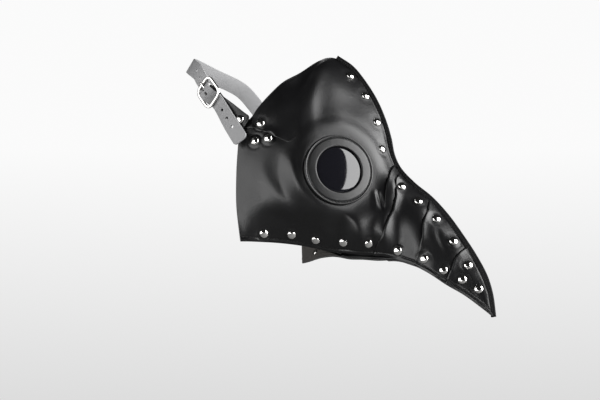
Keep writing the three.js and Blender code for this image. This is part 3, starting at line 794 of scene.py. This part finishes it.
# ---- Ridge seam ----
def make_ridge_seam():
    t = np.linspace(0.003, 0.997, 260)
    height = SEAM_HEIGHT + SEAM_SUNK
    section = rounded_rectangle(SEAM_LAYER, height, 0.5, 3)
    middle = np.array([seam_foot(x, height / 2) for x in t])
    edge = np.array([seam_foot(x, 0) for x in t])
    for side, verts, faces in both_sides(*sweep(middle, edge - middle, section)):
        fin = add_mesh(f"ridge_seam_{side}", verts, faces, [SEAM])
        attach(fin, "mask")


# ---- Stitches ----
def stitch_shape():
    """A grain-shaped stitch that reaches from -1 to 1 each way."""
    rings = [(-1, 0.05), (-0.8, 0.6), (-0.4, 0.95), (0, 1), (0.4, 0.95), (0.8, 0.6), (1, 0.05)]
    sides = 6
    verts = []
    for along, r in rings:
        for k in range(sides):
            angle = 2 * math.pi * k / sides
            verts.append((along, r * math.cos(angle), r * math.sin(angle)))
    return np.array(verts), tube_faces(len(rings), sides)


def read_at(place, along, rows):
    """A row of three numbers, read at a distance along a route."""
    return np.array([np.interp(place, along, rows[:, k]) for k in range(3)])


def make_stitches(name, route, facing, pitch, length, width, height, closed=False):
    """A row of thread stitches lying on a route, each sunk halfway into the leather."""
    if closed:
        route = np.vstack([route, route[:1]])
        facing = np.vstack([facing, facing[:1]])
    along = travel(route)
    count = max(int(along[-1] / pitch), 1)
    shape, shape_faces = stitch_shape()
    verts, faces = [], []
    for place in (np.arange(count) + 0.5) * along[-1] / count:
        n = unit(read_at(place, along, facing))
        ahead = unit(read_at(place + 0.5, along, route) - read_at(place - 0.5, along, route))
        across = unit(np.cross(n, ahead))
        base = len(verts) * len(shape)
        verts.append(read_at(place, along, route) + shape[:, :1] * ahead * length / 2
                        + shape[:, 1:2] * across * width / 2 + shape[:, 2:] * n * height / 2)
        faces += [[base + i for i in f] for f in shape_faces]
    row = add_mesh(name, np.concatenate(verts), faces, [THREAD])
    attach(row, "mask")


def mirrored_rows(name, route, facing, **sizes):
    route, facing = np.asarray(route), np.asarray(facing)
    make_stitches(f"{name}_left", route, facing, **sizes)
    make_stitches(f"{name}_right", route * [-1, 1, 1], facing * [-1, 1, 1], **sizes)


def stitch_seams(front, normal):
    """Stitches along the ridge's fin and along the panels' bottom edges."""
    t = np.linspace(0.01, 0.985, 240)
    ridge = np.array([seam_foot(x, RIDGE_STITCH_DEPTH) for x in t])
    ridge[:, 0] = SEAM_GAP + SEAM_LAYER
    sideways = np.tile([1.0, 0, 0], (len(t), 1))
    mirrored_rows("ridge_thread", ridge, sideways, pitch=2.8, length=2.0, width=0.6, height=0.5)
    route, facing = [], []
    for column, normals in zip(front[:, ::-1], normal[:, ::-1]):
        up = travel(column)
        if up[-1] < SHORTEST_COLUMN:
            break
        route.append(read_at(STITCH_INSET, up, column))
        facing.append(read_at(STITCH_INSET, up, normals))
    mirrored_rows("edge_thread", route[3:], facing[3:], pitch=3.3, length=2.3, width=1.2, height=1.1)


# ---- Gusset ----
def mirrored(points):
    return [[-x, y, z] for x, y, z in points]


def gusset_section(u):
    """The gusset's outline at one place: flanges inside both panels and a crown between them."""
    points = surface(np.array([u, u]), np.array([1.0, 0.97]))
    along, down = tangents(np.array([u]), np.array([1.0]))
    inward = -unit(np.cross(along, down))[0]
    edge = points[0] + inward * (LEATHER + 0.1)
    up = unit(points[1] - points[0])
    bend = edge + up * GUSSET_FLANGE
    rise = GUSSET_RISE * edge[0] / GUSSET_HALF_WIDTH
    half = [edge, edge + up * 2.6, bend + up * 0.2]
    crown = [[bend[0] * s, bend[1], bend[2] + rise * (1 - s * s)] for s in (0.92, 0.8, 0.6, 0.4, 0.2, 0)]
    over = [[x, y, z + GUSSET_THICKNESS] for x, y, z in crown]
    inside = inward * GUSSET_THICKNESS
    outer = half + crown
    inner = over[::-1] + [bend + inside + up * 0.9, edge + inside + up * 2, edge + inside]
    return np.array(outer + mirrored(outer[:-1])[::-1] + mirrored(inner)[::-1][:-1] + inner, float)


def make_gusset():
    sections = [gusset_section(u) for u in np.linspace(GUSSET_START, GUSSET_END, 120)]
    faces = tube_faces(len(sections), len(sections[0]))
    gusset = add_mesh("gusset", np.concatenate(sections), faces, [BLACK])
    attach(gusset, "mask")
    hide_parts("under_gusset")


# ---- Eyes ----
def ring_profile():
    """The ring's section: its top falls to a stitched groove, and the lens sits underneath."""
    outer, inner, height = RING_OUTER, RING_INNER, RING_HEIGHT
    seat, seat_depth = LENS_SEAT
    foot_gap = 0.05
    rim = [(seat, foot_gap), (outer, foot_gap), (outer + 0.1, height - 2.2), (outer - 0.1, height - 1.5),
           (outer - 0.5, height - 1.1), (outer - 1.3, height - 0.95)]
    groove = [(outer - 1.9, height - 1.3), (outer - 2.5, height - 1.75), (outer - 3.1, height - 1.2)]
    top = [(outer - 3.6, height - 0.75), (outer - 4.4, height - 0.62), (outer - 8, height - 0.22),
           (inner + 1.5, height), (inner + 0.9, height + 0.04), (inner + 0.45, height - 0.15)]
    lip = [(inner + 0.1, height - 0.6), (inner, height - 1.2), (inner, seat_depth), (seat, seat_depth)]
    return rim + groove + top + lip


def lens_profile():
    """A flat flange under a shallow dome."""
    top = GAP + LENS_FLANGE_THICKNESS
    angles = np.linspace(0, math.pi / 2, 14)[:-1]
    dome = [(LENS_DOME * math.cos(a), top + LENS_DOME_HEIGHT * math.sin(a)) for a in angles]
    return [(0, GAP), (LENS_FLANGE, GAP), (LENS_FLANGE, top)] + dome + [(0, top + LENS_DOME_HEIGHT)]


def make_eyes():
    inset, drop = RING_STITCH
    circle = EYE_CENTRE + (RING_OUTER - inset) * spokes_about(EYE_WAY, 120) + EYE_WAY * (RING_HEIGHT - drop)
    mirrored_rows("ring_thread", circle, np.tile(EYE_WAY, (len(circle), 1)),
                  pitch=3.0, length=2.1, width=1.0, height=0.9, closed=True)
    for name, shape, material, slot in (
        ("eye_ring", turned_ring(ring_profile(), 96, EYE_CENTRE, EYE_WAY), BLACK, "black_leather"),
        ("lens", lathe(lens_profile(), 96, EYE_CENTRE, EYE_WAY), LENS, "tinted_lens"),
    ):
        for hand, verts, faces in both_sides(*shape):
            piece = add_mesh(f"{name}_shape_{hand}", verts, faces, [material])
            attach(piece, "mask")
            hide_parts(f"{name}_{hand}")


# ---- Rivets ----
def rivet_profile(grip):
    """A back cap, a post as long as the grip, and a dome."""
    back = -grip - RIVET_BACK_CAP
    foot_and_post = [(0, back), (3.1, back), (3.3, back + 0.3), (3.3, -grip), (1.5, -grip), (1.5, 0)]
    dome = [(4.3, 0), (4.36, 0.3), (4.22, 0.75), (3.85, 1.25), (3.2, 1.75), (2.3, 2.15), (1.2, 2.38),
            (0, 2.45)]
    return foot_and_post + dome


def make_rivets():
    names = rivet_names("left") + rivet_names("right") + ["strap_rivet_left", "strap_rivet_right"]
    for name in names:
        at, axis, depth = SEATS.get(name) or lathe_place(name)
        profile = rivet_profile(depth - RIVET_BACK_CAP)
        verts, faces = lathe(profile, 28, at + axis * RIVET_LIFT, axis)
        rivet = add_mesh(f"{name}_shape", verts, faces, [NICKEL])
        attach(rivet, "mask")
        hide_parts(name)


# ---- Straps ----
ALONG = unit(UPPER_BAR_WAY)
OUT = unit(BUCKLE_FACING - ALONG * (BUCKLE_FACING @ ALONG))
ACROSS = np.cross(ALONG, OUT)
BACK_ROUTE = [(82, 12, 39), (79, 27, 51), (72, 42, 65), (56, 59, 89), (26, 75.5, 99), (0, 82, 103)]
# Distance from the centre bar and height, as the strap weaves through the frame.
BUCKLE_ROUTE = [(28, -4.4), (20, -3.1), (14, -3), (10.4, -2.6), (6.6, 1.2), (3.2, 3.9), (0, 4.4),
                (-3.2, 3.9), (-6.6, 1.2), (-10.4, -2.6), (-12.6, -2.95)]
PIVOT_TURN = (0, 40)  # y over which the strap turns from sideways to the head's way
BUCKLE_TURN = (-78, -62)  # x over which it turns from the buckle's way to the head's
TAIL_ROUTE = [(-12.65, -2.96), (-14.6, -3.1)]
TAIL_BELLY = np.array([-1.2, 0, 0])  # how far the tail's middle stands out from a straight line
TAIL_FACING = np.array([-1.0, 0, 0])
LOOP_UNDER = ((-15, -5.4), (-9, -4.9))  # the black strap's way in, under the frame
LOOP_END = ((-3.2, 0.1), (-4.8, -1.2))
LOOP_HALF_TURN = 0.55  # share of its way at which the black strap is half turned
LOOP_SLOT = ((0.6, 0.3), 2.05, 4.2)  # place, stretch and reach of the cut for the prong


def at_buckle(t, n, w=0.0):
    return BUCKLE_BAR + ALONG * t + OUT * n + ACROSS * w


def woven(pairs):
    return [at_buckle(t, n) for t, n in pairs]


def punch(strap, centre, way, radius=STRAP_HOLE, stretch=1.0, reach=8):
    """Cuts a round hole, or one stretched along the strap, through a strap piece."""
    profile = [(0, -reach), (radius, -reach), (radius, reach), (0, reach)]
    verts, faces = lathe(profile, 20, np.zeros(3), [0, 0, 1])
    verts[:, 0] *= stretch
    turn = np.array([unit(np.cross(ACROSS, way)), ACROSS, unit(way)])
    cutter = add_mesh("cutter", verts @ turn + centre, faces, [strap.data.materials[1]])
    cut = strap.modifiers.new("hole", "BOOLEAN")
    cut.object = cutter
    cut.operation = "DIFFERENCE"
    cut.solver = "EXACT"
    cut_strap = strap.evaluated_get(bpy.context.evaluated_depsgraph_get())
    mesh = bpy.data.meshes.new_from_object(cut_strap)
    strap.modifiers.clear()
    strap.data = mesh
    bpy.data.objects.remove(cutter)


def rounded_width(left):
    """The share of its width a strap keeps at a distance from its round-cornered end."""
    gap = np.maximum(STRAP_CORNER - left, 0) / STRAP_CORNER
    return 1 - STRAP_CORNER / (STRAP_WIDTH / 2) * (1 - np.sqrt(np.maximum(1 - gap**2, 0)))


def strap_piece(name, route, facing, materials, round_first, thickness=STRAP_THICKNESS):
    """A strap with one round-cornered end and soft edges. Its cut sides take the second material."""
    section = rounded_rectangle(STRAP_WIDTH, thickness, STRAP_EDGE, 3)
    along = travel(route)
    left = along if round_first else along[-1] - along
    verts, faces = sweep(route, facing, section, rounded_width(left))
    at_side = np.abs(section[:, 0]) > STRAP_WIDTH / 2 - 0.6
    around = [int(here and after) for here, after in zip(at_side, np.roll(at_side, -1))]
    return add_mesh(name, verts, faces, materials, around * (len(route) - 1) + [1, 1])


def finish_strap(strap, node, body=None):
    strap.data.set_sharp_from_angle(angle=SHARP)
    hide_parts(node)
    if body:
        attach(strap, body)


def long_strap_route():
    other = [(-x, y, z) for x, y, z in BACK_ROUTE[3:-1][::-1]]
    points = [PIVOT + PIVOT_OVERHANG, PIVOT] + BACK_ROUTE + other + woven(BUCKLE_ROUTE)
    return by_length(points, np.linspace(0, 1, 340))


def long_strap_facing(route):
    """Away from the head, but sideways at the pivot and the buckle's way at the buckle."""
    facing = unit(route - HEAD_CENTRE)
    past_pivot = smoothstep(route[:, 1], *PIVOT_TURN)
    past_buckle = np.where(route[:, 0] < 0, smoothstep(route[:, 0], *BUCKLE_TURN), 1)
    sideways = np.where(route[:, :1] < 0, OUT, [1.0, 0, 0])
    weight = (1 - np.minimum(past_pivot, past_buckle))[:, None]
    return unit(facing * (1 - weight) + sideways * weight)


def make_long_strap():
    route = long_strap_route()
    strap = strap_piece("long_strap_shape", route, long_strap_facing(route), (GREY, GREY_EDGE), True)
    punch(strap, at_buckle(SLOT_MIDDLE, 1), OUT, SLOT_WIDTH / 2, SLOT_LENGTH / SLOT_WIDTH, 6)
    for centre in woven(STRAP_HOLES):
        punch(strap, centre, OUT, reach=5)
    finish_strap(strap, "long_strap", "head_strap")


def make_tail():
    """The free end, which starts under the frame's lower bar, where the long strap stops."""
    start = at_buckle(*TAIL_START)
    middle = (start + TAIL_END) / 2 + TAIL_BELLY
    route = by_length(woven(TAIL_ROUTE) + [start, middle, TAIL_END], np.linspace(0, 1, 70))
    share = smoothstep(travel(route), 0, travel(route)[-1])[:, None]
    facing = unit(OUT * (1 - share) + TAIL_FACING * share)
    tail = strap_piece("strap_tail_shape", route, facing, (GREY, GREY_EDGE), False)
    for centre in by_length([start, middle, TAIL_END], np.array(TAIL_HOLES)):
        punch(tail, centre, TAIL_FACING)
    finish_strap(tail, "strap_tail")
    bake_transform(tail)


def buckle_strap_route():
    """From the right temple, under the frame's lower end and once around the centre bar."""
    pivot = PIVOT * [-1, 1, 1]
    under, inside = woven(LOOP_UNDER)
    points = [pivot + PIVOT_OVERHANG, pivot, pivot + LOOP_HALF_TURN * (under - pivot), under, inside]
    facing = [[-1, 0, 0], [-1, 0, 0], unit(OUT - [1, 0, 0]), OUT, OUT]
    for angle in np.radians(np.linspace(-90, 135, 13)):
        radial = ALONG * math.cos(angle) + OUT * math.sin(angle)
        points.append(BUCKLE_BAR + radial * LOOP_RADIUS)
        facing.append(-radial)
    points += woven(LOOP_END)
    facing += [-OUT, -OUT]
    steps = np.linspace(0, 1, 120)
    return catmull(points, steps), unit(catmull(facing, steps))


def make_buckle_strap():
    route, facing = buckle_strap_route()
    strap = strap_piece("buckle_strap_shape", route, facing, (BLACK, BLACK), True, LOOP_THICKNESS)
    place, stretch, reach = LOOP_SLOT
    punch(strap, at_buckle(*place), OUT, SLOT_WIDTH / 2, stretch, reach)
    finish_strap(strap, "buckle_strap", "head_strap")


# ---- Buckle ----
PRONG_EYE = 2
PRONG_TONGUE = [(4.5, 1.75), (8.5, 2.0), (12, 2.15), (13.9, 1.85)]
PRONG_HALF_WIDTH = (0.62, 1.02)  # at its tip and along the rest
PRONG_HALF_HEIGHT = 0.53
PRONG_TIP = 0.06  # share of its length that narrows to the tip


def make_buckle_frame():
    """A flat-topped loop with round corners, and the bar across its middle."""
    corner = FRAME_CORNER - FRAME_BAR / 2
    loop = rounded_rectangle(FRAME_LENGTH - FRAME_BAR, FRAME_WIDTH - FRAME_BAR, corner, 8)
    route = np.array([at_buckle(t, 0, w) for t, w in loop])
    side = np.cross(unit(np.roll(route, -1, axis=0) - np.roll(route, 1, axis=0)), OUT)
    section = rounded_rectangle(FRAME_BAR, FRAME_THICKNESS, FRAME_EDGE, 4)
    verts = np.concatenate([p + section[:, :1] * s + section[:, 1:] * OUT for p, s in zip(route, side)])
    faces = tube_faces(len(route), len(section), closed=True)
    half = FRAME_WIDTH / 2 - FRAME_BAR * 0.6
    profile = [(0, -half), (CENTRE_BAR, -half), (CENTRE_BAR, half), (0, half)]
    bar, bar_faces = lathe(profile, 16, BUCKLE_BAR, ACROSS)
    faces += [[k + len(verts) for k in face] for face in bar_faces]
    buckle = add_mesh("buckle_frame_shape", np.concatenate([verts, bar]), faces, [NICKEL])
    buckle.data.set_sharp_from_angle(angle=SHARP)
    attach(buckle, "buckle")
    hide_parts("buckle_frame")


def make_prong():
    """A wire bent into an eye around the centre bar, then on through the slot to the frame's upper end."""
    turn = np.radians(np.linspace(-290, 40, 24))
    eye = [at_buckle(PRONG_EYE * math.cos(a), PRONG_EYE * math.sin(a)) for a in turn]
    route = catmull(eye + woven(PRONG_TONGUE), np.linspace(0, 1, 70))
    sides = 12
    angles = np.linspace(0, 2 * math.pi, sides, endpoint=False)
    up = np.cross(unit(np.gradient(route, axis=0)), ACROSS)
    left = 1 - travel(route) / travel(route)[-1]
    tip, full = PRONG_HALF_WIDTH
    half_width = tip + (full - tip) * np.sqrt(np.clip(left / PRONG_TIP, 0, 1))
    verts = [
        p + np.outer(np.cos(angles) * w, ACROSS) + np.outer(np.sin(angles) * PRONG_HALF_HEIGHT, u)
        for p, u, w in zip(route, up, half_width)
    ]
    faces = tube_faces(len(route), sides)
    prong = add_mesh("buckle_prong_shape", np.concatenate(verts), faces, [NICKEL])
    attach(prong, "prong")
    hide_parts("buckle_prong")


# ---- Stage ----
VIEW_CENTRE = Vector((0.0197, -0.0243, -0.0393))
VIEW_BACK = Vector((-0.889, -0.415, -0.191)).normalized()
VIEW_DISTANCE = 2.4
VIEW_WIDTH = 0.6
LIGHTS_FACE = Vector((0, -0.08, -0.03))
FILL = 0.015
BACKDROP_RISE = {"From_Min": 0.09, "From_Max": 0.21, "To_Min": 0.68, "To_Max": 0.96}
SENSOR = 36
FLOOR_HALF = 6
FLOOR_HEIGHT = -0.62


def make_camera():
    data = bpy.data.cameras.new("camera")
    data.sensor_width = SENSOR
    data.lens = SENSOR * VIEW_DISTANCE / VIEW_WIDTH
    camera = bpy.data.objects.new("camera", data)
    camera.location = VIEW_CENTRE + VIEW_BACK * VIEW_DISTANCE
    camera.rotation_euler = VIEW_BACK.to_track_quat("Z", "Y").to_euler()
    bpy.context.scene.collection.objects.link(camera)
    bpy.context.scene.camera = camera


def area_light(name, azimuth, elevation, distance, width, height, power, roll=0):
    """A softbox that faces the mask. Azimuth 0 is straight ahead of the beak, and 90 is on its left."""
    a, e = math.radians(azimuth), math.radians(elevation)
    way = Vector((math.sin(a) * math.cos(e), -math.cos(a) * math.cos(e), math.sin(e)))
    data = bpy.data.lights.new(name, "AREA")
    data.shape = "RECTANGLE"
    data.size = width
    data.size_y = height
    data.energy = power
    light = bpy.data.objects.new(name, data)
    light.location = LIGHTS_FACE + way * distance
    turn = way.to_track_quat("Z", "Y").to_matrix() @ Matrix.Rotation(math.radians(roll), 3, "Z")
    light.rotation_euler = turn.to_euler()
    bpy.context.scene.collection.objects.link(light)


def make_world():
    """A pale backdrop that only the camera sees, and a dim even fill for everything else."""
    world = bpy.data.worlds.new("studio")
    world.use_nodes = True
    bpy.context.scene.world = world
    tree = world.node_tree
    background = tree.nodes["Background"]
    where = add_node(tree, "TexCoord")
    split = add_node(tree, "SeparateXYZ")
    tree.links.new(where.outputs["Generated"], split.inputs["Vector"])
    backdrop = add_node(tree, "MapRange", **BACKDROP_RISE)
    tree.links.new(split.outputs["Z"], backdrop.inputs["Value"])
    path = add_node(tree, "LightPath")
    mix = add_node(tree, "Mix", A=FILL)
    tree.links.new(backdrop.outputs["Result"], mix.inputs["B"])
    tree.links.new(path.outputs["Is Camera Ray"], mix.inputs["Factor"])
    tree.links.new(mix.outputs["Result"], background.inputs["Strength"])
    background.inputs["Color"].default_value = (1, 1, 1, 1)


def make_floor():
    mesh = bpy.data.meshes.new("floor")
    square = ((-1, -1), (1, -1), (1, 1), (-1, 1))
    mesh.from_pydata([(x * FLOOR_HALF, y * FLOOR_HALF, FLOOR_HEIGHT) for x, y in square], [], [range(4)])
    mesh.materials.append(floor_material())
    floor = bpy.data.objects.new("floor", mesh)
    bpy.context.scene.collection.objects.link(floor)


def make_lights():
    area_light("right_box", 5, 17, 2.2, 2.5, 2.2, 152, roll=-20)
    area_light("left_box", -130, -4, 2.2, 2.6, 2.5, 62)
    area_light("low_box", -97, -20, 2.2, 1.2, 0.9, 26)


def dress_cad_nodes():
    for side in ("left", "right"):
        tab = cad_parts[f"temple_tab_{side}"]
        tab.data.materials.clear()
        tab.data.materials.append(INNER)


bpy.context.scene.view_settings.view_transform = "Standard"
make_camera()
make_world()
make_floor()
make_lights()
front, normal = make_panels()
make_ridge_seam()
stitch_seams(front, normal)
make_gusset()
make_eyes()
make_rivets()
make_long_strap()
make_tail()
make_buckle_strap()
make_buckle_frame()
make_prong()
dress_cad_nodes()
